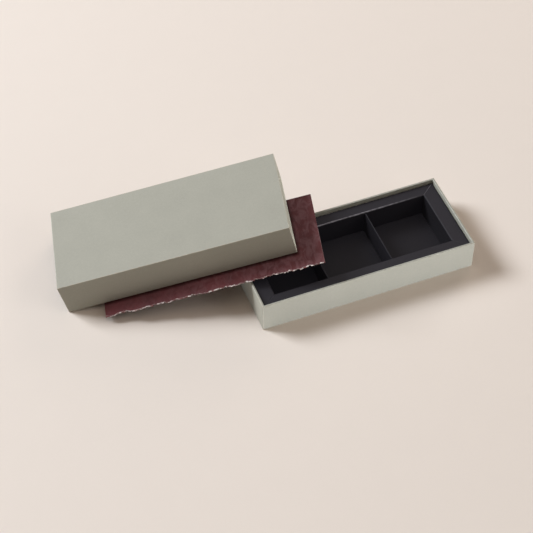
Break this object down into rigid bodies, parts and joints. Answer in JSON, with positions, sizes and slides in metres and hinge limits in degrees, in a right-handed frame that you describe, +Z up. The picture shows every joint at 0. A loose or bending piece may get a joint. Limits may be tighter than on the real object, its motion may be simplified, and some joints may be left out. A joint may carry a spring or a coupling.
{
  "type": "sliding drawer gift box",
  "caption": "Slim rigid gift box shown apart: a sleeve leaning on a deckled cover sheet, and its drawer with a black card insert divided into open bays.",
  "frame": {"origin": "middle of the drawer's underside, on the table", "axes": "+X along the drawer towards its uncovered end, +Y to the back, away from the long side that faces the viewer, +Z up"},
  "size_m": [0.3574, 0.1686, 0.0775],
  "materials": {
    "sage_paper": "matte",
    "greyboard": "matte",
    "stay_paper": "matte",
    "black_card": "matte",
    "burgundy_paper": "matte",
    "white_core": "matte"
  },
  "bodies": {
    "drawer": {"drawer_base_board": "greyboard", "drawer_front_board": "greyboard", "drawer_back_board": "greyboard", "drawer_left_board": "greyboard", "drawer_right_board": "greyboard", "drawer_corner_stays": "stay_paper", "drawer_wrap": "sage_paper", "drawer_base_paper": "sage_paper", "drawer_floor_liner": "sage_paper"},
    "insert": {"insert_base_card": "black_card", "insert_front_rail": "black_card", "insert_back_rail": "black_card", "insert_left_rail": "black_card", "insert_right_rail": "black_card", "divider_left": "black_card", "divider_right": "black_card"},
    "cover_sheet": {"cover_sheet_back": "burgundy_paper", "cover_sheet_core": "white_core", "cover_sheet_face": "burgundy_paper"},
    "sleeve": {"sleeve_top_board": "greyboard", "sleeve_bottom_board": "greyboard", "sleeve_front_board": "greyboard", "sleeve_back_board": "greyboard", "sleeve_edge_tapes": "stay_paper", "sleeve_wrap": "sage_paper", "sleeve_liner": "sage_paper"}
  },
  "joints": [
    {"name": "insert_lift", "type": "slide", "parent": "drawer", "child": "insert", "axis": [0, 0, 1], "range_m": [0, 0.035]},
    {"name": "sheet_lift", "type": "slide", "parent": "insert", "child": "cover_sheet", "axis": [0, 0, 1], "range_m": [0, 0.045]},
    {"name": "sleeve_slide", "type": "slide", "parent": "cover_sheet", "child": "sleeve", "axis": [0.9533, -0.2131, 0.2142], "range_m": [0, 0.203]}
  ]
}
